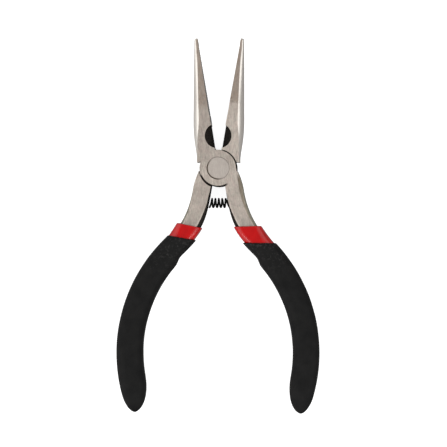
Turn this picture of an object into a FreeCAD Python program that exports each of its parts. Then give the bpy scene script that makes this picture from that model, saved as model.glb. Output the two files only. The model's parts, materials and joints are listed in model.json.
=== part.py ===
import FreeCAD, Part
import math
import os

import Sketcher

# Mini long-nose pliers with side cutters: two identical forged levers on one flush rivet,
# held open by a small coil spring, each handle dipped in red vinyl and then gripped in black.
#
# Frame: the tool lies flat with its jaws along +Y and its thickness along Z. The pivot stands
# on the Y axis and z = 0 is the plane that the head and both grips rest on.
# One lever is drawn with the jaws shut: its bite face on X = 0, its jaw on the -X side, its
# handle on the +X side and the pivot at the origin. The other lever is the same forging
# turned over about Y, and both then swing apart by the half opening that the spring holds.

DRIVING = {
    # whole tool
    "pivot_place": 19.18,
    "half_opening": 9.4,
    "head_thickness": 9.0,
    # jaw and nose, measured along Y from the pivot and across from the bite face
    "bite_gap": 0.03,
    "jaw_shoulder": 3.1,
    "jaw_width": 6.45,
    "jaw_flare": 0.35,
    "jaw_flare_end": 6.2,
    "jaw_parallel": 9.0,
    "nose_arc_radius": 50.0,
    "nose_taper": 9.7,
    "nose_break": 22.5,
    "nose_end": 43.85,
    "nose_end_thickness": 2.6,
    "tip_length": 0.5,
    "tip_width": 1.0,
    "tip_thickness": 2.0,
    "tip_bevel": 0.45,
    "bevel_root": 0.25,
    "bevel_full": 2.05,
    "bevel_end": 0.95,
    # teeth on the bite face
    "tooth_start": 18.0,
    "tooth_pitch": 0.8,
    "tooth_depth": 0.15,
    "tooth_count": 30,
    # side cutter
    "cutter_place": 10.75,
    "cutter_length": 8.1,
    "cutter_depth": 2.7,
    "cutter_offset": 1.2,
    "cutter_reach": 3.45,
    "cutter_land": 0.3,
    # lap joint and rivet
    "boss_radius": 6.2,
    "lap_gap": 0.28,
    "lap_shift_x": -0.07,
    "lap_shift_y": -0.12,
    "face_gap": 0.03,
    "rivet_radius": 2.4,
    "rivet_head_radius": 3.8,
    "rivet_head_depth": 1.2,
    "rivet_edge": 0.12,
    "rivet_play": 0.04,
    # tang between the boss and the neck
    "tang_inner": 1.4,
    "tang_outer": 7.1,
    "tang_shoulder": 1.9,
    "tang_corner": 6.15,
    "tang_side_radius": 23.4,
    "tang_end": 8.5,
    # neck: a bend about a pole beyond the outer edge
    "neck_radius": 31.7,
    "neck_turn": 36.0,
    "neck_swell": 0.7,
    "neck_slope_end": 21.0,
    "neck_round_inner": 1.7,
    "neck_round_outer": 0.9,
    "neck_round_end": 20.0,
    # bow of the handle: arcs about a pole between the handles
    "bow_radius": 52.3,
    "bow_width": 6.7,
    "bow_even": 31.0,
    "bow_inner_close": -19.5,
    "bow_outer_close": -25.0,
    "bow_end": -32.7,
    "bow_end_radius": 51.0,
    "core_end": -25.0,
    "core_thickness": 6.58,
    # vinyl layers; each was dipped to its own line, level or a little askew
    "dip_wall": 0.6,
    "grip_wall": 0.6,
    "vinyl_start": 8.0,
    "dip_middle": 11.5,
    "right_red_top": 19.5,
    "right_black_top": 24.9,
    "right_dip_slope": 0.0,
    "left_red_top": 18.9,
    "left_black_top": 23.4,
    "left_dip_slope": 10.0,
    # opening spring and its blind seats in the tangs
    "spring_place": 11.95,
    "spring_coil_radius": 1.48,
    "spring_wire_radius": 0.27,
    "spring_pitch": 1.15,
    "spring_seat_radius": 1.98,
    "spring_seat_depth": 0.8,
    "spring_end_play": 0.45,
}

# Edge roundings of the bare metal: at the head, and where the handle is a plain bar.
ROUND_SHARP = 0.12
ROUND_METAL = 2.2
# Share of a section's half size that a rounding may take where the handle closes.
ROUND_SHARE = 0.76
# Outer flank of the jaw: its depth as a share of the half thickness, at no bevel and at full.
FLANK_ROOT = 0.30
FLANK_GAIN = 0.45
# Numbers of loft sections, and the last angle of the rounded end in degrees of its ellipse.
JAW_SECTIONS = 7
NECK_SECTIONS = 7
BOW_SECTIONS = 11
END_SECTIONS = 6
END_STOP = 86.0
# How far tools reach past the metal, how far the jaw root laps its loft, and how far into
# the boss both roots run, as a share of its radius.
PAST = 1.0
ROOT_LAP = 0.2
ROOT_REACH = 0.8
# Side of the box that trims the vinyl.
BIG = 60.0


def make_sheet(doc):
    """Driving dimensions in millimetres and degrees, one aliased cell each."""
    sheet = doc.addObject("Spreadsheet::Sheet", "dims")
    for row, (name, value) in enumerate(DRIVING.items(), start=1):
        sheet.set("A%d" % row, name)
        sheet.set("B%d" % row, str(value))
        sheet.setAlias("B%d" % row, name)
    doc.recompute()
    return sheet


def bind(target, **expressions):
    """Bind properties of a document object to expressions of the sheet."""
    for name, expression in expressions.items():
        target.setExpression(name.replace("__", "."), expression)


def vector(x, y, z=0.0):
    return FreeCAD.Vector(x, y, z)


def blend(start, end, fraction):
    """Smooth step from start to end."""
    t = min(max(fraction, 0.0), 1.0)
    return start + (end - start) * t * t * (3.0 - 2.0 * t)


def closed_wire(start, steps):
    """Closed wire: a step is a corner point, or a (middle, end) pair for an arc."""
    edges = []
    last = start
    for step in steps + [start]:
        if isinstance(step, tuple):
            edges.append(Part.Arc(last, step[0], step[1]).toShape())
            last = step[1]
        elif last.distanceToPoint(step) > 1e-7:
            edges.append(Part.LineSegment(last, step).toShape())
            last = step
    return Part.Wire(edges)


# ---------------------------------------------------------------- jaw

def nose_width(d, y):
    """Width of the jaw from its bite face: flared root, parallel, an arc, then the straight taper."""
    taper = math.radians(d["nose_taper"])
    arc_rise = d["nose_arc_radius"] * math.sin(taper)
    arc_drop = d["nose_arc_radius"] * (1.0 - math.cos(taper))
    beyond = y - d["jaw_parallel"]
    if beyond <= 0.0:
        flare = (d["jaw_flare_end"] - y) / (d["jaw_flare_end"] - d["jaw_shoulder"])
        return d["jaw_width"] + d["jaw_flare"] * max(flare, 0.0)
    if beyond <= arc_rise:
        radius = d["nose_arc_radius"]
        return d["jaw_width"] - radius + math.sqrt(radius ** 2 - beyond ** 2)
    return d["jaw_width"] - arc_drop - (beyond - arc_rise) * math.tan(taper)


def nose_half_thickness(d, y):
    """Half thickness: full over the head, then an even slope to the tip."""
    fraction = max(0.0, (y - d["nose_break"]) / (d["nose_end"] - d["nose_break"]))
    thickness = d["head_thickness"] + (d["nose_end_thickness"] - d["head_thickness"]) * fraction
    return thickness / 2.0


def nose_bevel(d, y):
    """Width of the rounded outer flank as seen from the face."""
    full_at = d["jaw_parallel"] + d["nose_arc_radius"] * math.sin(math.radians(d["nose_taper"]))
    if y <= full_at:
        span = full_at - d["jaw_shoulder"]
        return blend(d["bevel_root"], d["bevel_full"], (y - d["jaw_shoulder"]) / span)
    fraction = (y - full_at) / (d["nose_end"] - full_at)
    return d["bevel_full"] + (d["bevel_end"] - d["bevel_full"]) * fraction


def jaw_section(y, inner, width, half, bevel, drop):
    """D-shaped section at y: flat bite face and faces, and a rounded outer flank."""
    radius = (bevel ** 2 + drop ** 2) / (2.0 * bevel)
    sweep = math.asin(drop / radius) / 2.0
    bulge = radius * (1.0 - math.cos(sweep))
    rise = radius * math.sin(sweep)
    shoulder = half - drop
    return closed_wire(vector(-inner, y, half), [
        vector(-width + bevel, y, half),
        (vector(-width + bulge, y, shoulder + rise), vector(-width, y, shoulder)),
        vector(-width, y, -shoulder),
        (vector(-width + bulge, y, -shoulder - rise), vector(-width + bevel, y, -half)),
        vector(-inner, y, -half),
    ])


def jaw_shape(d):
    """Jaw from the shoulder to the tip, in three lofts that meet at the nose break and tip."""
    def section(y):
        bevel = nose_bevel(d, y)
        half = nose_half_thickness(d, y)
        drop = half * (FLANK_ROOT + FLANK_GAIN * bevel / d["bevel_full"])
        return jaw_section(y, d["bite_gap"], nose_width(d, y), half, bevel, drop)

    step = (d["nose_break"] - d["jaw_shoulder"]) / (JAW_SECTIONS - 1)
    base = [section(d["jaw_shoulder"] + step * i) for i in range(JAW_SECTIONS)]
    nose = [section(d["nose_break"]), section(d["nose_end"])]
    tip_half = d["tip_thickness"] / 2.0
    tip_y = d["nose_end"] + d["tip_length"]
    tip = jaw_section(tip_y, d["bite_gap"], d["tip_width"], tip_half, d["tip_bevel"], tip_half / 2.0)
    shape = Part.makeLoft(base, True, False)
    shape = shape.fuse(Part.makeLoft(nose, True, True))
    shape = shape.fuse(Part.makeLoft([nose[1], tip], True, True))
    root_side = -d["boss_radius"] * ROOT_REACH
    root_top = d["jaw_shoulder"] + ROOT_LAP
    root = closed_wire(vector(-d["bite_gap"], 0.0), [
        vector(-d["bite_gap"], root_top),
        vector(root_side, root_top),
        vector(root_side, d["jaw_shoulder"]),
    ])
    half = d["head_thickness"] / 2.0
    root_block = Part.Face(root).extrude(vector(0, 0, 2.0 * half))
    root_block.translate(vector(0, 0, -half))
    return shape.fuse(root_block).removeSplitter()


def teeth_shape(d):
    """Comb of shallow grooves across the bite face."""
    start = d["tooth_start"]
    inner = -d["bite_gap"]
    points = [vector(inner, start)]
    for i in range(int(d["tooth_count"])):
        y = start + i * d["tooth_pitch"]
        points.append(vector(inner - d["tooth_depth"], y + d["tooth_pitch"] / 2.0))
        points.append(vector(inner, y + d["tooth_pitch"]))
    points.append(vector(PAST, points[-1].y))
    outline = Part.Face(closed_wire(vector(PAST, start), points))
    comb = outline.extrude(vector(0, 0, d["head_thickness"] + 2.0 * PAST))
    comb.translate(vector(0, 0, -d["head_thickness"] / 2.0 - PAST))
    return comb


# ---------------------------------------------------------------- handle

def band_section(inner, outer, half, round_inner, round_outer):
    """Rounded rectangle standing along Z between two plan points."""
    along = (outer - inner).normalize()
    up = vector(0, 0, 1)
    lean = 1.0 - math.sqrt(0.5)

    def corner(base, inward, radius, sign):
        """Point on the flat, middle of the arc and point on the side, for one corner."""
        flat = base + inward * radius + up * (sign * half)
        middle = base + inward * (radius * lean) + up * (sign * (half - radius * lean))
        side = base + up * (sign * (half - radius))
        return flat, middle, side

    in_up = corner(inner, along, round_inner, 1)
    out_up = corner(outer, -along, round_outer, 1)
    out_down = corner(outer, -along, round_outer, -1)
    in_down = corner(inner, along, round_inner, -1)
    return closed_wire(in_up[0], [
        out_up[0], (out_up[1], out_up[2]),
        out_down[2], (out_down[1], out_down[0]),
        in_down[0], (in_down[1], in_down[2]),
        in_up[2], (in_up[1], in_up[0]),
    ])


def poles(d):
    """Neck pole and bow pole; the two bends meet on one ray at the neck turn."""
    neck = vector(d["tang_outer"] + d["neck_radius"], -d["tang_end"])
    turn = math.radians(d["neck_turn"])
    ray = vector(math.cos(turn), math.sin(turn))
    bow = neck - ray * (d["neck_radius"] + d["bow_radius"])
    return neck, bow


def neck_sections(d, proud, turns):
    """Sections of the bend below the head, at the given angles in degrees."""
    neck, _ = poles(d)
    width = d["tang_outer"] - d["tang_inner"]
    sections = []
    for turn in turns:
        angle = math.radians(turn)
        ray = vector(math.cos(angle), math.sin(angle))
        swell = d["neck_swell"] * math.sin(math.pi * turn / d["neck_turn"]) ** 2
        outer = neck - ray * (d["neck_radius"] - proud)
        inner = neck - ray * (d["neck_radius"] + width + swell + proud)
        half = blend(d["head_thickness"], d["core_thickness"], turn / d["neck_slope_end"]) / 2.0
        ease = turn / d["neck_round_end"]
        settle = (turn - d["neck_round_end"]) / (d["neck_turn"] - d["neck_round_end"])
        low = blend(ROUND_SHARP, d["neck_round_inner"], ease)
        lip = blend(ROUND_SHARP, d["neck_round_outer"], ease)
        round_inner = blend(low, ROUND_METAL, settle) + proud
        round_outer = blend(lip, ROUND_METAL, settle) + proud
        sections.append(band_section(inner, outer, half + proud, round_inner, round_outer))
    return sections


def closing(angle, start, end):
    """Elliptical narrowing: 1 until start, 0 at end."""
    fraction = min(max((angle - start) / (end - start), 0.0), 1.0)
    return math.sqrt(1.0 - fraction ** 2)


def bow_sections(d, proud, angles, end):
    """Sections of the bowed handle, at the given angles in degrees about the bow pole."""
    _, bow = poles(d)
    neck_width = d["tang_outer"] - d["tang_inner"]
    half_start = (d["bow_inner_close"] + d["bow_outer_close"]) / 2.0
    sections = []
    for turn in angles:
        angle = math.radians(turn)
        ray = vector(math.cos(angle), math.sin(angle))
        fraction = (d["neck_turn"] - turn) / (d["neck_turn"] - d["bow_even"])
        width = blend(neck_width, d["bow_width"], fraction)
        tip = d["bow_end_radius"]
        outer_reach = d["bow_radius"] + proud - tip
        inner_reach = tip - (d["bow_radius"] - width - proud)
        outer = bow + ray * (tip + outer_reach * closing(turn, d["bow_outer_close"], end))
        inner = bow + ray * (tip - inner_reach * closing(turn, d["bow_inner_close"], end))
        half = (d["core_thickness"] / 2.0 + proud) * closing(turn, half_start, end)
        limit = ROUND_SHARE * min(half, (outer - inner).Length / 2.0)
        corner = min(ROUND_METAL + proud, limit)
        sections.append(band_section(inner, outer, half, corner, corner))
    return sections


def handle_shape(d, proud, neck_start, end, rounded_end):
    """Neck and bow lofted as one bar, standing proud of the metal by the vinyl it carries."""
    neck_step = (d["neck_turn"] - neck_start) / NECK_SECTIONS
    turns = [neck_start + neck_step * i for i in range(NECK_SECTIONS)]
    stop = d["bow_inner_close"] if rounded_end else end
    bow_step = (stop - d["neck_turn"]) / BOW_SECTIONS
    angles = [d["neck_turn"] + bow_step * i for i in range(BOW_SECTIONS + 1)]
    if rounded_end:
        for i in range(1, END_SECTIONS + 1):
            reach = math.sin(math.radians(END_STOP * i / END_SECTIONS))
            angles.append(stop + (end - stop) * reach)
    close = end if rounded_end else d["bow_end"]
    wires = neck_sections(d, proud, turns) + bow_sections(d, proud, angles, close)
    return Part.makeLoft(wires, True, False)


# ---------------------------------------------------------------- document helpers

def add(doc, kind, name, **values):
    """Add a document object and set its plain properties."""
    item = doc.addObject(kind, name)
    for key, value in values.items():
        setattr(item, key, value)
    return item


def feature(doc, name, shape, placement=None):
    """Part::Feature for a lofted shape; the placement goes on after the shape."""
    item = doc.addObject("Part::Feature", name)
    item.Shape = shape
    if placement is not None:
        item.Placement = placement
    return item


def cylinder(doc, name, radius, height, base_z="0"):
    """Cylinder along Z with its sizes bound to the sheet."""
    item = doc.addObject("Part::Cylinder", name)
    item.setExpression("Radius", radius)
    item.setExpression("Height", height)
    item.setExpression("Placement.Base.z", base_z)
    return item


def bound_outline(sketch, corners):
    """Closed anticlockwise outline whose corners and radii are bound to the sheet.

    A corner (x, y) ends a line; (x, y, radius) ends an arc that bulges outwards.
    """
    points = [vector(*[float(sketch.evalExpression(part)) for part in corner[:2]])
              for corner in corners]
    for i, corner in enumerate(corners):
        start = points[i - 1]
        end = points[i]
        edge = Part.LineSegment(start, end)
        if len(corner) == 3:
            radius = float(sketch.evalExpression(corner[2]))
            chord = end - start
            outward = vector(chord.y, -chord.x).normalize()
            sagitta = radius - math.sqrt(radius ** 2 - (chord.Length / 2.0) ** 2)
            edge = Part.Arc(start, (start + end) * 0.5 + outward * sagitta, end)
        sketch.addGeometry(edge, False)
    for i, corner in enumerate(corners):
        following = (i + 1) % len(corners)
        sketch.addConstraint(Sketcher.Constraint("Coincident", i, 2, following, 1))
        rows = [
            (Sketcher.Constraint("DistanceX", -1, 1, i, 2, points[i].x), corner[0]),
            (Sketcher.Constraint("DistanceY", -1, 1, i, 2, points[i].y), corner[1]),
        ]
        if len(corner) == 3:
            rows.append((Sketcher.Constraint("Radius", i, sketch.Geometry[i].Radius), corner[2]))
        for row, expression in rows:
            index = sketch.addConstraint(row)
            sketch.setExpression("Constraints[%d]" % index, expression)


# ---------------------------------------------------------------- levers

def tang_plate(doc, name):
    """Full-thickness plate between the boss and the neck."""
    sketch = doc.addObject("Sketcher::SketchObject", name + "_tang_outline")
    bound_outline(sketch, [
        ("dims.tang_inner", "-dims.boss_radius * %g" % ROOT_REACH),
        ("dims.tang_inner", "-dims.tang_end"),
        ("dims.tang_outer", "-dims.tang_end"),
        ("dims.tang_corner", "-dims.tang_shoulder", "dims.tang_side_radius"),
        ("dims.tang_inner / 2", "-dims.tang_shoulder"),
    ])
    plate = add(doc, "Part::Extrusion", name + "_tang", Base=sketch, DirMode="Normal",
                Solid=True, Symmetric=True)
    plate.setExpression("LengthFwd", "dims.head_thickness")
    return plate


def cutter_tool(doc, name):
    """Two opposed wedges inside an oval, which leave a straight cutting edge at mid thickness."""
    oval = doc.addObject("Part::Ellipse", name + "_cutter_oval")
    oval.setExpression("MajorRadius", "dims.cutter_length / 2")
    oval.setExpression("MinorRadius", "dims.cutter_depth + dims.cutter_offset")
    oval.Placement = FreeCAD.Placement(vector(0, 0), FreeCAD.Rotation(vector(0, 0, 1), 90))
    bind(oval, Placement__Base__x="dims.cutter_offset", Placement__Base__y="dims.cutter_place")
    prism = add(doc, "Part::Extrusion", name + "_cutter_prism", Base=oval, DirMode="Normal",
                Solid=True, Symmetric=True)
    prism.setExpression("LengthFwd", "dims.head_thickness + 2 * %g" % PAST)
    wedges = []
    for side in (1, -1):
        wedge = doc.addObject("Sketcher::SketchObject", "%s_wedge_outline_%d" % (name, side + 1))
        wedge.Placement = FreeCAD.Placement(vector(0, 0), FreeCAD.Rotation(vector(1, 0, 0), 90))
        land = "%d * dims.cutter_land / 2" % side
        face = "%d * dims.head_thickness / 2" % side
        top = "%d * (dims.head_thickness / 2 + %g)" % (side, PAST)
        bound_outline(wedge, [
            ("%g" % PAST, land),
            ("-dims.bite_gap", land),
            ("-dims.cutter_reach", face),
            ("-dims.cutter_reach", top),
            ("%g" % PAST, top),
        ])
        block = add(doc, "Part::Extrusion", "%s_wedge_%d" % (name, side + 1), Base=wedge,
                    DirMode="Normal", Solid=True)
        block.setExpression("LengthRev", "dims.cutter_place + dims.cutter_length")
        wedges.append(block)
    both = add(doc, "Part::MultiFuse", name + "_wedges", Shapes=wedges)
    return add(doc, "Part::Common", name + "_cutter", Base=prism, Tool=both)


def make_lever(doc, d, name, play):
    """One forging: jaw, half-lap boss, tang and handle core, with its bores and recesses."""
    half = "dims.head_thickness / 2"
    past = "%g" % PAST
    blank = add(doc, "Part::MultiFuse", name + "_blank", Shapes=[
        feature(doc, name + "_jaw", jaw_shape(d)),
        tang_plate(doc, name),
        feature(doc, name + "_handle", handle_shape(d, 0.0, 0.0, d["core_end"], False)),
    ])
    lap = cylinder(doc, name + "_lap", "dims.boss_radius + dims.lap_gap",
                   half + " + dims.face_gap + " + past, "-dims.head_thickness / 2 - " + past)
    bind(lap, Placement__Base__x="dims.lap_shift_x", Placement__Base__y="dims.lap_shift_y")
    halved = add(doc, "Part::Cut", name + "_halved", Base=blank, Tool=lap)
    boss = cylinder(doc, name + "_boss", "dims.boss_radius", half + " - dims.face_gap",
                    "dims.face_gap")
    forging = add(doc, "Part::Fuse", name + "_forging", Base=halved, Tool=boss)
    bore = cylinder(doc, name + "_bore", "dims.rivet_radius + " + play,
                    half + " + " + past, "-" + past)
    head = cylinder(doc, name + "_head_seat", "dims.rivet_head_radius + " + play,
                    "dims.rivet_head_depth + %s + %s" % (past, play),
                    half + " - dims.rivet_head_depth - " + play)
    seat = doc.addObject("Part::Cylinder", name + "_spring_seat")
    seat.Placement = FreeCAD.Placement(vector(0, 0), FreeCAD.Rotation(vector(0, 1, 0), 90))
    bind(seat, Radius="dims.spring_seat_radius", Height="dims.spring_seat_depth + " + past,
         Placement__Base__x="dims.tang_inner - " + past, Placement__Base__y="-dims.spring_place")
    tools = add(doc, "Part::MultiFuse", name + "_tools", Shapes=[
        bore, head, seat, cutter_tool(doc, name), feature(doc, name + "_teeth", teeth_shape(d)),
    ])
    return add(doc, "Part::Cut", name, Base=forging, Tool=tools, Label=name)


def make_rivet(doc):
    """Flush rivet with a head sunk in each lever, turned as one profile."""
    body = doc.addObject("PartDesign::Body", "pivot_rivet")
    sketch = body.newObject("Sketcher::SketchObject", "rivet_profile")
    plane = [item for item in body.Origin.OriginFeatures if item.Role == "XZ_Plane"][0]
    sketch.AttachmentSupport = [(plane, "")]
    sketch.MapMode = "FlatFace"
    face = "dims.head_thickness / 2"
    rim = "(dims.head_thickness / 2 - dims.rivet_edge)"
    neck = "(dims.head_thickness / 2 - dims.rivet_head_depth)"
    bound_outline(sketch, [
        ("0", "-" + face),
        ("dims.rivet_head_radius - dims.rivet_edge", "-" + face),
        ("dims.rivet_head_radius", "-" + rim),
        ("dims.rivet_head_radius", "-" + neck),
        ("dims.rivet_radius", "-" + neck),
        ("dims.rivet_radius", neck),
        ("dims.rivet_head_radius", neck),
        ("dims.rivet_head_radius", rim),
        ("dims.rivet_head_radius - dims.rivet_edge", face),
        ("0", face),
    ])
    turned = body.newObject("PartDesign::Revolution", "rivet_turned")
    turned.Profile = sketch
    turned.ReferenceAxis = (sketch, ["V_Axis"])
    turned.Angle = 360.0
    body.Tip = turned
    return body


def make_spring(doc, d):
    """Open coil spring along X, from the floor of one seat to the floor of the other."""
    reach = spring_reach(d)
    helix = doc.addObject("Part::Helix", "spring_path")
    bind(helix, Pitch="dims.spring_pitch", Radius="dims.spring_coil_radius")
    helix.Height = 2.0 * reach
    wire = doc.addObject("Part::Circle", "spring_wire")
    wire.Placement = FreeCAD.Placement(vector(0, 0), FreeCAD.Rotation(vector(1, 0, 0), 90))
    bind(wire, Radius="dims.spring_wire_radius", Placement__Base__x="dims.spring_coil_radius")
    return add(doc, "Part::Sweep", "return_spring", Sections=[wire], Spine=(helix, ["Edge1"]),
               Solid=True, Frenet=True)


def spring_reach(d):
    """Half length of the spring: it stops just short of the floors of its seats."""
    swing = math.radians(d["half_opening"])
    floor = d["tang_inner"] + d["spring_seat_depth"]
    depth = floor * math.cos(swing) + d["spring_place"] * math.sin(swing)
    return depth - d["spring_wire_radius"] - d["spring_end_play"]


# ---------------------------------------------------------------- vinyl

def dip_box(doc, d, name, top, slope):
    """Everything above the line that the vinyl was dipped to; it rises outwards by the slope."""
    box = add(doc, "Part::Box", name, Length=BIG, Width=BIG, Height=BIG)
    line = FreeCAD.Placement(vector(d["dip_middle"], -d[top]),
                             FreeCAD.Rotation(vector(0, 0, 1), d[slope]))
    corner = FreeCAD.Placement(vector(-BIG / 2, 0, -BIG / 2), FreeCAD.Rotation())
    box.Placement = line.multiply(corner)
    return box


def make_vinyl(doc, d, side):
    """Red sleeve over the core and black grip over the sleeve, drawn as the tool stands open."""
    swing = FreeCAD.Placement(vector(0, 0), FreeCAD.Rotation(vector(0, 0, 1), d["half_opening"]))
    red = d["dip_wall"]
    black = d["dip_wall"] + d["grip_wall"]
    thin = math.degrees(d["grip_wall"] / d["bow_radius"])
    core = feature(doc, side + "_core", handle_shape(d, 0.0, 0.0, d["core_end"], False), swing)
    start = d["vinyl_start"]
    coat = feature(doc, side + "_coat", handle_shape(d, red, start, d["bow_end"] + thin, True), swing)
    skin = feature(doc, side + "_skin", handle_shape(d, black, start, d["bow_end"], True), swing)
    slope = side + "_dip_slope"
    red_line = dip_box(doc, d, side + "_red_line", side + "_red_top", slope)
    black_line = dip_box(doc, d, side + "_black_line", side + "_black_top", slope)
    dipped = add(doc, "Part::Cut", side + "_dipped", Base=coat, Tool=red_line)
    sleeve = add(doc, "Part::Cut", side + "_sleeve", Base=dipped, Tool=core)
    sleeve.Label = side + "_sleeve"
    cased = add(doc, "Part::Cut", side + "_cased", Base=skin, Tool=black_line)
    grip = add(doc, "Part::Cut", side + "_grip", Base=cased, Tool=dipped)
    grip.Label = side + "_grip"
    return sleeve, grip


def place(item, d, turned_over, swing=0.0):
    """Stand a piece in the tool's frame; the second forging is turned over about Y."""
    turn = FreeCAD.Rotation(vector(0, 0, 1), swing)
    if turned_over:
        turn = FreeCAD.Rotation(vector(0, 1, 0), 180).multiply(turn)
    base = vector(0, d["pivot_place"], d["head_thickness"] / 2.0)
    item.Placement = FreeCAD.Placement(base, turn)


def main():
    doc = FreeCAD.newDocument("pliers")
    sheet = make_sheet(doc)
    d = {name: float(sheet.get(name)) for name in DRIVING}

    front_lever = make_lever(doc, d, "front_lever", "0")
    rear_lever = make_lever(doc, d, "rear_lever", "dims.rivet_play")
    rivet = make_rivet(doc)
    spring = make_spring(doc, d)
    right_sleeve, right_grip = make_vinyl(doc, d, "right")
    left_sleeve, left_grip = make_vinyl(doc, d, "left")

    place(front_lever, d, False, d["half_opening"])
    place(rear_lever, d, True, d["half_opening"])
    place(rivet, d, False)
    for item in (right_sleeve, right_grip):
        place(item, d, False)
    for item in (left_sleeve, left_grip):
        place(item, d, True)
    swing = math.radians(d["half_opening"])
    below = d["spring_place"] * math.cos(swing) - d["tang_inner"] * math.sin(swing)
    spring.Placement = FreeCAD.Placement(
        vector(-spring_reach(d), d["pivot_place"] - below, d["head_thickness"] / 2.0),
        FreeCAD.Rotation(vector(0, 1, 0), 90))
    doc.recompute()

    for item in doc.Objects:
        if "Invalid" in item.State or "Error" in item.State:
            raise RuntimeError("%s failed to build: %s" % (item.Name, item.State))
    os.makedirs("parts", exist_ok=True)
    pieces = [front_lever, rear_lever, rivet, spring, left_sleeve, right_sleeve, left_grip, right_grip]
    for piece in pieces:
        shape = piece.Shape
        if shape.isNull() or not shape.isValid():
            raise RuntimeError("%s has no valid shape" % piece.Label)
        shape.exportStep("parts/%s.step" % piece.Label)
        box = shape.BoundBox
        print("%-13s %d solid %9.2f mm3  x %.2f %.2f  y %.2f %.2f  z %.2f %.2f" % (
            piece.Label, len(shape.Solids), shape.Volume,
            box.XMin, box.XMax, box.YMin, box.YMax, box.ZMin, box.ZMax))


main()
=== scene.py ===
"""Looks of the mini long-nose pliers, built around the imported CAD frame."""
import json
import math

import bpy
from mathutils import Matrix, Vector, noise


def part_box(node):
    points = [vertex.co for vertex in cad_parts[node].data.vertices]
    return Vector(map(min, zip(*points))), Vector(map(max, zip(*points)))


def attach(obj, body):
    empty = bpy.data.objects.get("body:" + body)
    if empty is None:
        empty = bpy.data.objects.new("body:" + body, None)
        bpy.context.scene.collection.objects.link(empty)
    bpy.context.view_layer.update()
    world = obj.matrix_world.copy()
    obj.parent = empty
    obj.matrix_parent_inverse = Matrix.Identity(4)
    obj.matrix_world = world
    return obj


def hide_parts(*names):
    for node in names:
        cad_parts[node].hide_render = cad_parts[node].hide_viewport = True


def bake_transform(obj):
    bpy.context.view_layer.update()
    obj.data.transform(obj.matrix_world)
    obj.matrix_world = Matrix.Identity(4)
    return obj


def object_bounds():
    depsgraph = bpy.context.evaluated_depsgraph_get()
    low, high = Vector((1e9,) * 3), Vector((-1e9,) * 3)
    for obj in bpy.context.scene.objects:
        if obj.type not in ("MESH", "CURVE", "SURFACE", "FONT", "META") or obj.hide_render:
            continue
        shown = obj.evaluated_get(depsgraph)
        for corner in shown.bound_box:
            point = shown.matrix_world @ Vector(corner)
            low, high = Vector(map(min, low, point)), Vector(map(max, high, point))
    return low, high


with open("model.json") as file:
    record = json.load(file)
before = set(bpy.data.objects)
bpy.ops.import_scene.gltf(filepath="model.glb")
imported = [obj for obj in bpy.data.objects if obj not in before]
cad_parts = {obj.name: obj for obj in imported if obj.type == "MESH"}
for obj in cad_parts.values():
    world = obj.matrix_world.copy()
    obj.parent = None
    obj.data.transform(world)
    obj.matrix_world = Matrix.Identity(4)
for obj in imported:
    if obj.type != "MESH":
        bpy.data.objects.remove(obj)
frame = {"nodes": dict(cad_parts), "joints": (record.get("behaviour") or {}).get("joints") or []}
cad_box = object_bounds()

MM = 0.001

# The frame: pivot of the joint, and the box of the whole tool.
PIVOT = Vector(frame["joints"][0]["pos_m"])
HALF_OPENING = math.radians(9.4)
LOWEST, HIGHEST = cad_box

# Handle outline in millimetres from the pivot, with the jaws shut, as the CAD draws it.
TANG_INNER = 1.4
TANG_OUTER = 7.1
TANG_END = 8.5
NECK_RADIUS = 31.7
NECK_TURN = 36.0
NECK_SWELL = 0.7
NECK_SLOPE_END = 21.0
BOW_RADIUS = 52.3
BOW_WIDTH = 6.7
BOW_EVEN = 31.0
BOW_INNER_CLOSE = -19.5
BOW_OUTER_CLOSE = -25.0
BOW_END = -32.7
BOW_END_RADIUS = 51.0
HEAD_HALF = 4.5
CORE_HALF = 3.29
ROUND_SHARP = 0.12
ROUND_METAL = 2.2
NECK_ROUND_INNER = 1.7
NECK_ROUND_OUTER = 0.9
NECK_ROUND_END = 20.0
# Share of a section's half size that a rounding may take where the handle closes.
ROUND_SHARE = 0.76
RED_PROUD = 0.6
SWELL_LENGTH = 12.0
BLACK_PROUD = 1.2
# Side cutter: the oval that its wedges fill, from the pivot and the bite face.
CUTTER_PLACE = 10.75
CUTTER_OFFSET = 1.2
CUTTER_HALF_WIDTH = 3.97
CUTTER_HALF_LENGTH = 4.12
# Levels of the two dip lines at DIP_MIDDLE from the centre, and how steeply they rise outwards.
DIP_MIDDLE = 11.5
DIP_LINES = {
    "right": {"red": -19.5, "black": -24.9, "slope": 0.0},
    "left": {"red": -18.9, "black": -23.4, "slope": 10.0},
}

# Rows of sections in the skins, and how far round its end ellipse the last one stands.
OUTER_ROWS = 90
INNER_ROWS = 30
LIP_ROWS = 6
END_ROWS = 16
END_STOP = 88.0
CORNER_STEPS = 9
FLAT_STEPS = 8

# Light levels of the studio, and the long strip light in front of the handles, whose place
# and size are in metres and whose power is in watts.
ZENITH_LIGHT = 0.74
LEFT_LIGHT = 0.80
RIGHT_LIGHT = 0.85
NEAR_LIGHT = -0.10
FAR_LIGHT = -0.22
OVERHEAD_SHARE = 0.36
UNDER_SHARE_LEFT = 0.40
UNDER_SHARE_RIGHT = 0.25
STRIP_PLACE = (0.0, -0.36, 0.50)
STRIP_TARGET = (0.0, -0.01, 0.0)
STRIP_SIZE = (1.0, 0.12)
STRIP_POWER = 1.3
FLOOR_HALF_SIZE = 20.0
FLOOR_GLOW = 0.90

# Camera: where it looks from the pivot and how wide it sees there, in mm, and its two turns.
LOOK_ACROSS = 1.94
LOOK_ALONG = -18.3
VIEW_WIDTH = 149.0
LENS = 135.0
SENSOR = 36.0
CAMERA_LEAN = 3.0
CAMERA_ROLL = 0.27

# Width of the strip of painted shade along the outer edge of the tang, in millimetres.
BEVEL_SHADE_WIDTH = 1.25
# Painted shade on the ground nose beyond its break: its brightness as a share of the plain ground
# face.
NOSE_SHADE = 0.88
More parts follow.
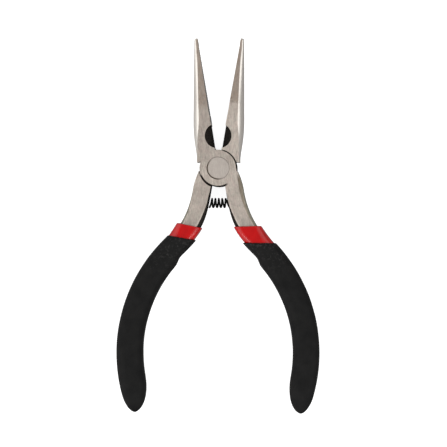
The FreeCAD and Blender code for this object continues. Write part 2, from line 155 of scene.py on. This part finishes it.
# Painted highlight on the flank at the root of the jaw: its brightness as a share of the rest of the
# flank.
ROOT_HIGHLIGHT = 1.15
# Strength of the brown stain on the nose.
STAIN_SHARE = 0.8
# How bright the jaw, the flat tang and the sloping neck of each lever are painted, as painted light
# on the jaw and tang and painted shade on the neck, and where the stain on its nose starts and over
# what length it comes in, in mm from the pivot.
LEVERS = {
    "front_lever": {
        "turned_over": False, "painted_jaw_light": 1.12, "painted_tang_light": 1.34, "painted_neck_shade": 0.97,
        "stain_edge": 23.5, "stain_fade": 4.0,
    },
    "rear_lever": {
        "turned_over": True, "painted_jaw_light": 1.36, "painted_tang_light": 1.24, "painted_neck_shade": 0.86,
        "stain_edge": 25.2, "stain_fade": 1.2,
    },
}

# Vinyl layers: rounding of the upper lip, depth of the ripples and swell at the outer edge.
RED_LIP = 0.3
RED_RIPPLE = 0.04
RED_SWELL = 0.6
BLACK_LIP = 0.35
BLACK_RIPPLE = 0.09
# Gaps between a layer's inner wall and the nominal face that it covers, between the red skin
# and its own nominal face, and between a layer's dip line and the top of its inner wall.
CORE_GAP = 0.02
OUTER_GAP = 0.01
LIP_GAP = 0.05

# Spring as the visual model draws it, in millimetres.
WIRE_RADIUS = 0.32
SPRING_START = 2.88
SPRING_PITCH = 1.2
SPRING_TURNS = 5
SPRING_STEPS = 32
SPRING_TAIL = 0.5
WIRE_SIDES = 12


# ---------------------------------------------------------------- geometry helpers

def smooth(start, end, fraction):
    """Smooth step from start to end."""
    t = min(max(fraction, 0.0), 1.0)
    return start + (end - start) * t * t * (3.0 - 2.0 * t)


def closing(angle, start, end):
    """Elliptical narrowing: 1 until start, 0 at end."""
    fraction = min(max((angle - start) / (end - start), 0.0), 1.0)
    return math.sqrt(1.0 - fraction ** 2)


def ray(degrees):
    """Unit plan vector at an angle from +X."""
    return Vector((math.cos(math.radians(degrees)), math.sin(math.radians(degrees))))


NECK_POLE = Vector((TANG_OUTER + NECK_RADIUS, -TANG_END))
BOW_POLE = NECK_POLE - ray(NECK_TURN) * (NECK_RADIUS + BOW_RADIUS)
# Radii, about half way across the bar, by which distances below the head are counted.
NECK_MIDDLE = NECK_RADIUS + 3.0
BOW_MIDDLE = BOW_RADIUS - 3.3
NECK_LENGTH = math.radians(NECK_TURN) * NECK_MIDDLE


def handle_section(s, proud, end_angle=BOW_END):
    """Section of the handle at s mm below the head: plan edges, half height and roundings."""
    neck_width = TANG_OUTER - TANG_INNER
    if s < NECK_LENGTH:
        turn = NECK_TURN * s / NECK_LENGTH
        swell = NECK_SWELL * math.sin(math.pi * turn / NECK_TURN) ** 2
        outer = NECK_POLE - ray(turn) * (NECK_RADIUS - proud)
        inner = NECK_POLE - ray(turn) * (NECK_RADIUS + neck_width + swell + proud)
        half = smooth(HEAD_HALF, CORE_HALF, turn / NECK_SLOPE_END) + proud
        ease = turn / NECK_ROUND_END
        settle = (turn - NECK_ROUND_END) / (NECK_TURN - NECK_ROUND_END)
        inner_start = smooth(ROUND_SHARP, NECK_ROUND_INNER, ease)
        outer_start = smooth(ROUND_SHARP, NECK_ROUND_OUTER, ease)
        round_inner = smooth(inner_start, ROUND_METAL, settle) + proud
        round_outer = smooth(outer_start, ROUND_METAL, settle) + proud
        return inner, outer, half, round_inner, round_outer
    angle = NECK_TURN - math.degrees((s - NECK_LENGTH) / BOW_MIDDLE)
    width = smooth(neck_width, BOW_WIDTH, (NECK_TURN - angle) / (NECK_TURN - BOW_EVEN))
    tip = BOW_END_RADIUS
    outer_reach = (BOW_RADIUS + proud - tip) * closing(angle, BOW_OUTER_CLOSE, end_angle)
    inner_reach = (tip - BOW_RADIUS + width + proud) * closing(angle, BOW_INNER_CLOSE, end_angle)
    outer = BOW_POLE + ray(angle) * (tip + outer_reach)
    inner = BOW_POLE + ray(angle) * (tip - inner_reach)
    half_start = (BOW_INNER_CLOSE + BOW_OUTER_CLOSE) / 2.0
    half = (CORE_HALF + proud) * closing(angle, half_start, end_angle)
    corner = min(ROUND_METAL + proud, ROUND_SHARE * min(half, (outer - inner).length / 2.0))
    return inner, outer, half, corner, corner


def bow_place(angle):
    """Distance below the head of an angle about the bow pole."""
    return NECK_LENGTH + math.radians(NECK_TURN - angle) * BOW_MIDDLE


def at_rest(point):
    """Plan point of the shut tool turned to where the right handle stands at rest."""
    c, s = math.cos(HALF_OPENING), math.sin(HALF_OPENING)
    return Vector((point.x * c - point.y * s, point.x * s + point.y * c))


def place_of_line(level, slope, proud, edge):
    """Distance below the head at which the inner (0) or outer (1) edge meets a dip line."""
    low, high = 0.0, NECK_LENGTH * 2.0
    rise = math.tan(math.radians(slope))
    for _ in range(40):
        middle = (low + high) / 2.0
        point = at_rest(handle_section(middle, proud)[edge])
        if point.y > level + (point.x - DIP_MIDDLE) * rise:
            low = middle
        else:
            high = middle
    return (low + high) / 2.0


def ring_points(section):
    """Points round a rounded rectangle that stands along Z between its two plan edges."""
    inner, outer, half, round_inner, round_outer = section
    width = (outer - inner).length
    points = []
    corners = [
        (width - round_outer, half - round_outer, round_outer, 0.0),
        (round_inner, half - round_inner, round_inner, 90.0),
        (round_inner, round_inner - half, round_inner, 180.0),
        (width - round_outer, round_outer - half, round_outer, 270.0),
    ]
    for across, up, radius, start in corners:
        for i in range(CORNER_STEPS + 1):
            angle = math.radians(start + 90.0 * i / CORNER_STEPS)
            points.append((across + radius * math.cos(angle), up + radius * math.sin(angle)))
    spread = []
    for i, point in enumerate(points):
        after = points[(i + 1) % len(points)]
        spread.append(point)
        if (i + 1) % (CORNER_STEPS + 1) == 0:
            for k in range(1, FLAT_STEPS):
                t = k / FLAT_STEPS
                spread.append((point[0] + (after[0] - point[0]) * t,
                               point[1] + (after[1] - point[1]) * t))
    along = (outer - inner).normalized()
    return [(inner + along * across, up) for across, up in spread]


def handle_rows(proud, level, slope, end_angle, count, swell=0.0):
    """Sections from the dip line down to the rounded end.

    The swell is how much thicker the outer edge is at the dip line, where the vinyl ran thick.
    """
    start = [place_of_line(level, slope, proud, edge) for edge in (0, 1)]
    close = bow_place(BOW_INNER_CLOSE)
    end = bow_place(end_angle)
    rows = []
    for i in range(count):
        t = i / count
        s_in = start[0] + (close - start[0]) * t
        s_out = start[1] + (close - start[1]) * t
        inner = handle_section(s_in, proud, end_angle)
        outer = handle_section(s_out, proud, end_angle)
        middle = handle_section((s_in + s_out) / 2.0, proud, end_angle)
        thick = swell * smooth(1.0, 0.0, (s_out - start[1]) / SWELL_LENGTH)
        outward = (outer[1] - outer[0]).normalized() * thick
        rows.append((inner[0], outer[1] + outward, middle[2], inner[3], outer[4] + thick / 2.0))
    for i in range(END_ROWS):
        reach = math.sin(math.radians(END_STOP * i / (END_ROWS - 1)))
        rows.append(handle_section(close + (end - close) * reach, proud, end_angle))
    return rows


def to_frame(plan, up, left):
    """Millimetre plan point and height of the right handle, in the tool's frame in metres."""
    turned = at_rest(plan)
    side = -1.0 if left else 1.0
    return PIVOT + Vector((side * turned.x, turned.y, side * up)) * MM


def skin_mesh(name, rings):
    """Closed mesh through rings of equal length, with a fan at each end."""
    count = len(rings[0])
    verts = [point for ring in rings for point in ring]
    faces = []
    for row in range(len(rings) - 1):
        for i in range(count):
            j = (i + 1) % count
            a = row * count
            b = a + count
            faces.append((a + i, a + j, b + j, b + i))
    for row, order in ((0, 1), (len(rings) - 1, -1)):
        centre = sum((Vector(point) for point in rings[row]), Vector()) / count
        verts.append(centre)
        hub = len(verts) - 1
        for i in range(count):
            j = (i + 1) % count
            fan = (row * count + j, row * count + i, hub)
            faces.append(fan if order > 0 else fan[::-1])
    mesh = bpy.data.meshes.new(name)
    mesh.from_pydata([tuple(v) for v in verts], [], faces)
    mesh.update()
    mesh.polygons.foreach_set("use_smooth", [True] * len(mesh.polygons))
    obj = bpy.data.objects.new(name, mesh)
    bpy.context.scene.collection.objects.link(obj)
    return obj


# ---------------------------------------------------------------- material helpers

class Nodes:
    """Short calls for building the nodes of one material or of the world."""

    def __init__(self, owner):
        """Start from a new material's name, or from a world that already has nodes."""
        if isinstance(owner, str):
            owner = bpy.data.materials.new(owner)
            owner.use_nodes = True
        self.material = owner
        self.tree = owner.node_tree
        kinds = ("BSDF_PRINCIPLED", "BACKGROUND")
        self.shader = next(node for node in self.tree.nodes if node.type in kinds)

    def add(self, kind, inputs=None, **settings):
        """New node of a kind; an input is a number, a colour or another node's socket."""
        node = self.tree.nodes.new("ShaderNode" + kind)
        for key, value in settings.items():
            setattr(node, key, value)
        for key, value in (inputs or {}).items():
            if isinstance(value, bpy.types.NodeSocket):
                self.tree.links.new(value, node.inputs[key])
            else:
                node.inputs[key].default_value = value
        return node

    def math(self, operation, first, second=0.0):
        return self.add("Math", {0: first, 1: second}, operation=operation).outputs[0]

    def product(self, *factors):
        result = factors[0]
        for factor in factors[1:]:
            result = self.math("MULTIPLY", result, factor)
        return result

    def length(self, x, y):
        """Length of a plan vector."""
        squares = self.math("ADD", self.product(x, x), self.product(y, y))
        return self.math("SQRT", squares)

    def step(self, value, low, high):
        """0 below low, 1 above high, smooth between; low may be above high."""
        return self.add("MapRange", {0: value, 1: low, 2: high, 3: 0.0, 4: 1.0},
                        interpolation_type="SMOOTHSTEP").outputs[0]

    def range(self, value, low, high, start, end):
        """start at low, end at high, even between, and no further outside."""
        return self.add("MapRange", {0: value, 1: low, 2: high, 3: start, 4: end}).outputs[0]

    def mix(self, factor, first, second):
        node = self.add("Mix", data_type="RGBA")
        for socket, value in ((0, factor), (6, first), (7, second)):
            if isinstance(value, bpy.types.NodeSocket):
                self.tree.links.new(value, node.inputs[socket])
            elif socket:
                node.inputs[socket].default_value = (*value, 1.0)
            else:
                node.inputs[socket].default_value = value
        return node.outputs[2]

    def times(self, colour, share):
        """Colour made brighter or darker by a share."""
        node = self.add("Mix", {0: 1.0, 6: colour, 7: share}, data_type="RGBA",
                        blend_type="MULTIPLY")
        return node.outputs[2]

    def noise(self, vector, scale, detail=2.0, roughness=0.5):
        node = self.add("TexNoise", {"Vector": vector, "Scale": scale, "Detail": detail,
                                     "Roughness": roughness})
        return node.outputs["Fac"]

    def place(self, matrix=None, scale=(1.0, 1.0, 1.0)):
        """Object coordinates in millimetres, turned by matrix about the pivot."""
        source = self.add("TexCoord").outputs["Object"]
        turn = matrix or Matrix.Identity(3)
        offset = -(turn @ PIVOT) / MM
        mapping = self.add("Mapping", {"Vector": source, "Location": offset,
                                       "Rotation": turn.to_euler(), "Scale": (1 / MM,) * 3})
        if scale == (1.0, 1.0, 1.0):
            return mapping.outputs[0]
        return self.add("Mapping", {"Vector": mapping.outputs[0], "Scale": scale}).outputs[0]

    def set(self, **values):
        for key, value in values.items():
            socket = self.shader.inputs[key.replace("_", " ")]
            if isinstance(value, bpy.types.NodeSocket):
                self.tree.links.new(value, socket)
            else:
                socket.default_value = value

    def bump(self, height, distance, strength):
        inputs = {"Height": height, "Distance": distance * MM, "Strength": strength}
        return self.add("Bump", inputs).outputs[0]


def shut_frame(turned_over):
    """Rotation from the rest frame to one lever's own frame, with its bite face on X = 0."""
    turn = Matrix.Rotation(-HALF_OPENING, 3, "Z")
    if turned_over:
        turn = turn @ Matrix.Rotation(math.pi, 3, "Y")
    return turn


# ---------------------------------------------------------------- materials

def bevel_shade_strip(n, x, y, z):
    """Painted shade on the flat face along the outer edge of the tang and neck, on the forging's
    upper side, where the real forging has a drafted bevel.
    """
    from_pole = n.length(n.math("SUBTRACT", x, NECK_POLE.x), n.math("SUBTRACT", y, NECK_POLE.y))
    bend = n.math("SUBTRACT", from_pole, NECK_RADIUS)
    straight = n.math("SUBTRACT", TANG_OUTER, x)
    on_neck = n.step(y, -TANG_END + 1.0, -TANG_END - 1.0)
    inset = n.add("Mix", {0: on_neck, 2: straight, 3: bend}).outputs[0]
    inset = n.math("ADD", inset, n.range(y, -8.0, -22.0, 0.0, 0.6))
    near_edge = n.step(inset, BEVEL_SHADE_WIDTH + 0.15, BEVEL_SHADE_WIDTH - 0.15)
    return n.product(near_edge, n.step(z, 1.0, 2.0), n.step(y, -2.5, -5.0))


def boss_gap_shade(n, x, y, radius):
    """Two arcs of painted shade along the boss's edge, at its lower left and its right, where it
    meets the other lever.
    """
    shaded_rim = n.step(radius, 6.5, 6.4)
    lower = n.product(n.step(radius, 5.74, 5.88), shaded_rim, n.step(y, -0.6, -1.8), n.step(x, 3.0, 1.6))
    upper = n.product(n.step(radius, 5.90, 6.02), shaded_rim, n.step(y, -1.8, -0.8), n.step(x, 1.0, 3.0))
    return n.math("MAXIMUM", lower, upper)


def cutter_recess(n, x, y, up):
    """Slopes of the side cutter inside its oval."""
    across = n.math("DIVIDE", n.math("SUBTRACT", x, CUTTER_OFFSET), CUTTER_HALF_WIDTH)
    along = n.math("DIVIDE", n.math("SUBTRACT", y, CUTTER_PLACE), CUTTER_HALF_LENGTH)
    oval = n.math("ADD", n.product(across, across), n.product(along, along))
    return n.product(n.step(oval, 1.02, 0.98), n.step(up, 0.97, 0.9))


def ground_colour(n, place, y, grain, lever):
    """Ground faces: grey, browner towards the tip, with streaks along the grinding, and with painted
    light on jaw and tang and painted shade on the sloping neck and nose.
    """
    cloud = n.noise(place, 0.30, 3.0, 0.6)
    tint = n.noise(place, 0.7, 2.0)
    blotch = n.noise(place, 1.6, 3.0, 0.65)
    half_fade = lever["stain_fade"] / 2.0
    stain_full = lever["stain_edge"] + half_fade

    ground = n.mix(n.range(cloud, 0.3, 0.7, 0.0, 1.0), (0.54, 0.455, 0.40), (0.61, 0.53, 0.47))
    ground = n.mix(n.range(tint, 0.35, 0.65, 0.0, 0.6), ground, (0.55, 0.51, 0.44))
    ragged = n.math("ADD", y, n.product(blotch, 5.0))
    brown = n.product(n.step(ragged, lever["stain_edge"] - half_fade, stain_full), STAIN_SHARE)
    stain = n.mix(n.range(blotch, 0.35, 0.65, 0.0, 1.0), (0.62, 0.48, 0.375), (0.53, 0.455, 0.40))
    ground = n.mix(brown, ground, stain)
    from_edge = n.math("ABSOLUTE", n.math("SUBTRACT", ragged, stain_full))
    pits = n.product(n.step(n.noise(place, 1.1, 2.0), 0.52, 0.60), n.step(from_edge, 1.4, 0.4))
    ground = n.mix(n.product(pits, 0.6), ground, (0.22, 0.16, 0.125))

    streaks = n.math("ADD", n.range(grain, 0.3, 0.7, 0.74, 1.16),
                     n.range(blotch, 0.3, 0.7, -0.09, 0.07))
    # painted light and shade: each region of the lever made brighter or darker by its gain
    handle_gain = n.range(y, -13.0, -7.0, lever["painted_neck_shade"], lever["painted_tang_light"])
    gain = n.range(y, -3.0, 4.0, handle_gain, lever["painted_jaw_light"])
    # painted shade: the sloping nose darker where the stain lies
    nose_shade = n.range(brown, 0.0, STAIN_SHARE, 1.0, NOSE_SHADE / lever["painted_jaw_light"])
    return n.times(ground, n.product(streaks, gain, nose_shade))


def steel(name, lever):
    """Ground faces and flanks over a black-oxide forging, zoned by place and slope."""
    n = Nodes(name)
    turn = shut_frame(lever["turned_over"])
    place = n.place(turn)
    x, y, z = n.add("SeparateXYZ", {0: place}).outputs
    bare = n.add("TexCoord").outputs["Normal"]
    turned = n.add("Mapping", {"Vector": bare, "Rotation": turn.to_euler()}, vector_type="VECTOR")
    side, _, rise = n.add("SeparateXYZ", {0: turned.outputs[0]}).outputs
    up = n.math("ABSOLUTE", rise)
    radius = n.length(x, y)

    # zones, each a factor from 0 to 1
    raised = n.math("MAXIMUM", n.step(n.math("ABSOLUTE", z), 3.0, 3.2), n.step(y, 20.0, 21.0))
    face = n.product(n.step(up, 0.93, 0.975), raised)
    jaw_side = n.product(n.step(y, 2.6, 2.9), n.step(radius, 6.6, 6.7))
    bite = n.product(n.step(side, 0.85, 0.95), n.step(y, 15.2, 15.6))
    outer_side = n.product(n.step(side, 0.1, 0.35), n.step(y, -1.0, -1.6), n.step(radius, 6.4, 6.6))
    # black: real oxide in the cutter's recess, plus painted shade along the boss's edge
    black = n.math("MAXIMUM", cutter_recess(n, x, y, up), boss_gap_shade(n, x, y, radius))

    grain_place = n.place(turn, (1.0, 0.10, 1.0))
    grain = n.noise(grain_place, 3.4, 5.0, 0.7)
    fine = n.noise(grain_place, 11.0, 3.0, 0.6)
    ground = ground_colour(n, place, y, grain, lever)
    flank = n.mix(n.range(grain, 0.3, 0.7, 0.0, 1.0), (0.72, 0.675, 0.62), (0.86, 0.81, 0.75))
    # painted highlight: the flank brighter at the root of the jaw
    flank = n.times(flank, n.range(y, 6.0, 13.0, ROOT_HIGHLIGHT, 1.0))
    oxide = n.mix(n.range(n.noise(place, 2.5, 3.0), 0.35, 0.7, 0.0, 1.0),
                  (0.012, 0.011, 0.010), (0.035, 0.031, 0.027))
    # painted shade: a darker ground colour for the bevel strip along the tang's outer edge
    shaded_bevel = n.mix(n.range(grain, 0.35, 0.65, 0.0, 1.0), (0.27, 0.225, 0.17), (0.40, 0.345, 0.275))
    worn = n.mix(n.range(grain, 0.35, 0.65, 0.0, 1.0), (0.16, 0.15, 0.12), (0.26, 0.245, 0.20))

    colour = n.mix(outer_side, oxide, worn)
    colour = n.mix(jaw_side, colour, flank)
    colour = n.mix(bite, colour, n.mix(0.7, worn, oxide))
    colour = n.mix(face, colour, n.mix(bevel_shade_strip(n, x, y, z), ground, shaded_bevel))
    colour = n.mix(black, colour, oxide)
    bright = n.math("MAXIMUM", n.math("MAXIMUM", face, jaw_side), bite)
    bright = n.product(bright, n.math("SUBTRACT", 1.0, black))
    ground_rough = n.range(grain, 0.3, 0.7, 0.30, 0.40)
    rough = n.math("ADD", n.product(ground_rough, bright),
                   n.product(n.math("SUBTRACT", 1.0, bright), 0.55))
    relief = n.math("ADD", n.product(grain, 0.6), n.product(fine, 0.4))
    n.set(Base_Color=colour, Roughness=rough, Metallic=bright, Normal=n.bump(relief, 0.035, 0.6))
    n.shader.inputs["Specular IOR Level"].default_value = 0.0
    return n.material


def rivet_steel():
    """Rivet ground flush: fine lines on the heads, and a crescent of painted shade along the rim
    towards -X and -Y.
    """
    n = Nodes("rivet_steel")
    place = n.place()
    x, y, _ = n.add("SeparateXYZ", {0: place}).outputs
    radius = n.length(x, y)
    grain = n.noise(n.place(None, (1.0, 0.12, 1.0)), 4.0, 4.0, 0.6)
    cloud = n.noise(place, 0.5, 2.0)
    colour = n.mix(n.range(cloud, 0.3, 0.7, 0.0, 1.0), (0.71, 0.63, 0.565), (0.825, 0.745, 0.67))
    colour = n.mix(n.range(grain, 0.35, 0.65, 0.0, 0.35), colour, (0.40, 0.355, 0.315))
    # painted shade: a dark crescent at the rim towards -X and -Y
    leftward = n.math("ADD", n.product(x, -0.85), n.product(y, -0.5))
    shaded_rim = n.product(n.step(radius, 3.25, 3.5), n.step(leftward, -0.5, 2.8))
    colour = n.mix(shaded_rim, colour, (0.12, 0.09, 0.065))
    n.set(Base_Color=colour, Roughness=n.range(grain, 0.3, 0.7, 0.3, 0.4), Metallic=1.0,
          Normal=n.bump(grain, 0.03, 0.6))
    return n.material


def red_vinyl():
    """Glossy dipped vinyl with faint sags."""
    n = Nodes("red_vinyl")
    place = n.place()
    sag = n.noise(place, 0.25, 2.0)
    dust = n.noise(place, 3.0, 3.0)
    colour = n.mix(n.range(sag, 0.3, 0.7, 0.0, 1.0), (0.38, 0.002, 0.003), (0.51, 0.004, 0.004))
    n.set(Base_Color=colour, Roughness=n.range(dust, 0.3, 0.7, 0.06, 0.10),
          Normal=n.bump(sag, 0.25, 0.3))
    n.shader.inputs["Specular IOR Level"].default_value = 0.45
    return n.material


def black_grip():
    """Matte black grip with a fine pebbled skin, and pale specks of painted highlight near its dip
    line.
    """
    n = Nodes("black_grip")
    place = n.place()
    pebble = n.add("TexVoronoi", {"Vector": place, "Scale": 1.9}, feature="SMOOTH_F1").outputs[0]
    fine = n.noise(place, 4.5, 3.0, 0.6)
    cloud = n.noise(place, 0.3, 3.0)
    colour = n.mix(n.range(cloud, 0.3, 0.7, 0.0, 1.0), (0.004, 0.004, 0.004), (0.008, 0.0078, 0.0075))
    relief = n.math("ADD", n.product(pebble, 0.5), n.product(fine, 0.5))
    along = n.add("SeparateXYZ", {0: place}).outputs[1]
    # painted highlights: pale specks on the pebbles near the dip line
    highlight_specks = n.product(n.step(n.noise(place, 1.3, 3.0, 0.7), 0.54, 0.64),
                       n.step(along, -38.0, -26.0))
    colour = n.mix(n.product(highlight_specks, 0.8), colour, (0.028, 0.027, 0.026))
    n.set(Base_Color=colour, Roughness=n.range(fine, 0.3, 0.7, 0.5, 0.7),
          Normal=n.bump(relief, 0.12, 0.7))
    n.shader.inputs["Specular IOR Level"].default_value = 0.12
    return n.material


def spring_steel():
    """Black-oxide spring wire."""
    n = Nodes("spring_steel")
    wear = n.noise(n.place(), 2.0, 2.0)
    colour = n.mix(wear, (0.003, 0.003, 0.003), (0.008, 0.0075, 0.007))
    n.set(Base_Color=colour, Roughness=n.range(wear, 0.3, 0.7, 0.40, 0.55))
    n.shader.inputs["Specular IOR Level"].default_value = 0.10
    return n.material


def floor_white():
    """A pale table lit from within, so that shadows on it stay faint."""
    n = Nodes("floor_white")
    colour = n.mix(n.noise(n.place(), 0.02, 2.0), (0.50, 0.50, 0.50), (0.53, 0.53, 0.53))
    n.set(Base_Color=colour, Roughness=0.9)
    n.shader.inputs["Emission Color"].default_value = (1.0, 1.0, 1.0, 1.0)
    n.shader.inputs["Emission Strength"].default_value = FLOOR_GLOW
    return n.material


# ---------------------------------------------------------------- pieces

def vinyl_piece(name, left, proud, inner_proud, layer, end_angle, lip, ripple, swell):
    """One dipped layer as a closed shell: outer skin, rounded lip and inner wall."""
    line = DIP_LINES["left" if left else "right"]
    level, slope = line[layer], line["slope"]
    outer_rows = handle_rows(proud, level - lip, slope, end_angle, OUTER_ROWS, swell)
    thin = math.degrees((proud - inner_proud) / BOW_RADIUS)
    inner_rows = handle_rows(inner_proud, level - LIP_GAP, slope, end_angle + thin, INNER_ROWS)
    lip_rows = []
    for k in range(1, LIP_ROWS + 1):
        angle = math.radians(90.0 * k / LIP_ROWS)
        shrunk = proud - lip * (1.0 - math.cos(angle))
        lowered = level - lip * (1.0 - math.sin(angle))
        lip_rows.append(handle_rows(shrunk, lowered, slope, end_angle, OUTER_ROWS, swell)[0])
    sections = outer_rows[::-1] + lip_rows + inner_rows
    rings = []
    outer_count = len(outer_rows) + len(lip_rows)
    for number, section in enumerate(sections):
        ring = []
        for plan, up in ring_points(section):
            point = to_frame(plan, up, left)
            if number < outer_count:
                seed = point / MM
                sink = 0.5 + 0.5 * noise.noise(seed * 0.16)
                sink += 0.3 * (0.5 + 0.5 * noise.noise(seed * 0.7))
                middle = to_frame((section[0] + section[1]) / 2.0, 0.0, left)
                inward = (middle - point).normalized()
                point = point + inward * (ripple * sink * MM)
            ring.append(point)
        # the skin starts at the closed end, so its rings turn backwards to face outwards
        rings.append(ring[::-1])
    return skin_mesh(name, rings)


def tube_rings(path, radius, count):
    """Rings of a round wire along a path, turned as little as possible from point to point."""
    rings = []
    reference = Vector((0.0, 0.0, 1.0))
    for i, point in enumerate(path):
        ahead = path[min(i + 1, len(path) - 1)]
        behind = path[max(i - 1, 0)]
        along = (ahead - behind).normalized()
        across = (reference - along * reference.dot(along)).normalized()
        over = along.cross(across)
        reference = across
        ring = []
        for k in range(count):
            angle = 2.0 * math.pi * k / count
            ring.append(point + (across * math.cos(angle) + over * math.sin(angle)) * radius)
        rings.append(ring)
    return rings


def spring_piece():
    """Coil between the tangs: its turns lean one way at its left end and the other at its right."""
    low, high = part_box("return_spring")
    centre = (low + high) / 2.0
    wire = WIRE_RADIUS * MM
    coil = (high.z - low.z) / 2.0 - wire
    first = Vector((centre.x - SPRING_START * MM, centre.y, centre.z))
    advance = SPRING_PITCH * SPRING_TURNS * MM
    count = SPRING_TURNS * SPRING_STEPS
    path = []
    for i in range(count + 1):
        t = i / count
        phase = 2.0 * math.pi * i / SPRING_STEPS - math.pi / 2.0
        up = coil * math.sin(phase)
        lean = 0.12 * (1.0 - t) ** 2 - 0.11 * t
        tail = SPRING_TAIL * MM * smooth(0.0, 1.0, (t - 0.9) / 0.1)
        x = first.x + advance * t + lean * up + tail
        path.append(Vector((x, first.y + up, first.z - coil * math.cos(phase))))
    obj = skin_mesh("opening_spring", tube_rings(path, wire, WIRE_SIDES))
    return obj, low, high


def make_floor():
    """Glowing floor; it neither lights the tool nor shows in its reflections."""
    size = FLOOR_HALF_SIZE
    mesh = bpy.data.meshes.new("floor")
    mesh.from_pydata([(-size, -size, 0), (size, -size, 0), (size, size, 0), (-size, size, 0)],
                     [], [(0, 1, 2, 3)])
    obj = bpy.data.objects.new("floor", mesh)
    obj.location.z = LOWEST.z
    bpy.context.scene.collection.objects.link(obj)
    obj.data.materials.append(floor_white())
    obj.visible_diffuse = False
    obj.visible_glossy = False


def make_world():
    """A pale studio: brighter at both sides, dimmer overhead, beyond the jaws and low down."""
    world = bpy.data.worlds.new("studio")
    bpy.context.scene.world = world
    world.use_nodes = True
    n = Nodes(world)
    x, y, z = n.add("SeparateXYZ", {0: n.add("TexCoord").outputs["Generated"]}).outputs
    left = n.product(n.step(x, -0.15, -0.65), LEFT_LIGHT)
    right = n.product(n.step(x, 0.20, 0.70), RIGHT_LIGHT)
    near = n.product(n.step(y, 0.0, -0.30), NEAR_LIGHT)
    far = n.product(n.step(y, 0.02, 0.45), FAR_LIGHT)
    sides = n.math("ADD", left, right)
    level = n.math("ADD", n.math("ADD", sides, near), n.math("ADD", far, ZENITH_LIGHT))
    under = n.range(x, -0.4, 0.4, UNDER_SHARE_LEFT, UNDER_SHARE_RIGHT)
    horizon = n.math("SUBTRACT", z, n.product(n.step(x, 0.0, 0.5), 0.20))
    above = n.range(n.step(horizon, -0.04, 0.12), 0.0, 1.0, under, 1.0)
    overhead = n.range(n.step(z, 0.970, 0.993), 0.0, 1.0, 1.0, OVERHEAD_SHARE)
    n.set(Color=(1.0, 1.0, 1.0, 1.0), Strength=n.product(level, above, overhead))


def make_light():
    """A long strip light in front of the handles, for the streak along the dipped layers."""
    make_world()
    data = bpy.data.lights.new("strip", "AREA")
    data.shape = "RECTANGLE"
    data.size, data.size_y = STRIP_SIZE
    data.energy = STRIP_POWER
    obj = bpy.data.objects.new("strip", data)
    obj.location = STRIP_PLACE
    aim = Vector(STRIP_TARGET) - Vector(STRIP_PLACE)
    obj.rotation_euler = aim.to_track_quat("-Z", "Y").to_euler()
    bpy.context.scene.collection.objects.link(obj)


def make_camera():
    """Above the tool and a little to its right, with the jaws towards the top of the picture."""
    data = bpy.data.cameras.new("camera")
    data.lens = LENS
    data.sensor_width = SENSOR
    data.clip_start = 0.01
    obj = bpy.data.objects.new("camera", data)
    bpy.context.scene.collection.objects.link(obj)
    distance = VIEW_WIDTH * MM * LENS / SENSOR
    look = PIVOT + Vector((LOOK_ACROSS, LOOK_ALONG, 0.0)) * MM
    lean = math.radians(CAMERA_LEAN)
    x = look.x + distance * math.sin(lean)
    obj.location = (x, look.y, HIGHEST.z + distance * math.cos(lean))
    obj.rotation_euler = (0.0, lean, math.radians(CAMERA_ROLL))
    bpy.context.scene.camera = obj


def dress_frame():
    """CAD nodes that stay: both levers and the rivet."""
    finishes = {
        "front_lever": steel("steel_front", LEVERS["front_lever"]),
        "rear_lever": steel("steel_rear", LEVERS["rear_lever"]),
        "pivot_rivet": rivet_steel(),
    }
    for node, material in finishes.items():
        obj = frame["nodes"][node]
        obj.data.materials.clear()
        obj.data.materials.append(material)


def make_handles():
    """Red sleeve and black grip of each handle, in place of the CAD's plain ones."""
    red = red_vinyl()
    black = black_grip()
    thin = math.degrees((BLACK_PROUD - RED_PROUD) / BOW_RADIUS)
    for left, body in ((True, "rear"), (False, "front")):
        side = "left" if left else "right"
        sleeve = vinyl_piece(side + "_red_sleeve", left, RED_PROUD - OUTER_GAP, CORE_GAP,
                             "red", BOW_END + thin, RED_LIP, RED_RIPPLE, RED_SWELL)
        sleeve.data.materials.append(red)
        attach(sleeve, body)
        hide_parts(side + "_sleeve")
        grip = vinyl_piece(side + "_black_grip", left, BLACK_PROUD,
                           RED_PROUD + CORE_GAP, "black", BOW_END, BLACK_LIP, BLACK_RIPPLE, 0.0)
        grip.data.materials.append(black)
        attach(grip, body)
        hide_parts(side + "_grip")


def make_spring():
    """Spring in place of the CAD's plain coil, between the two levers."""
    obj, low, high = spring_piece()
    obj.data.materials.append(spring_steel())
    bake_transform(obj)
    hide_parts("return_spring")


make_camera()
make_light()
make_floor()
dress_frame()
make_handles()
make_spring()
bpy.context.scene.view_settings.view_transform = "Standard"
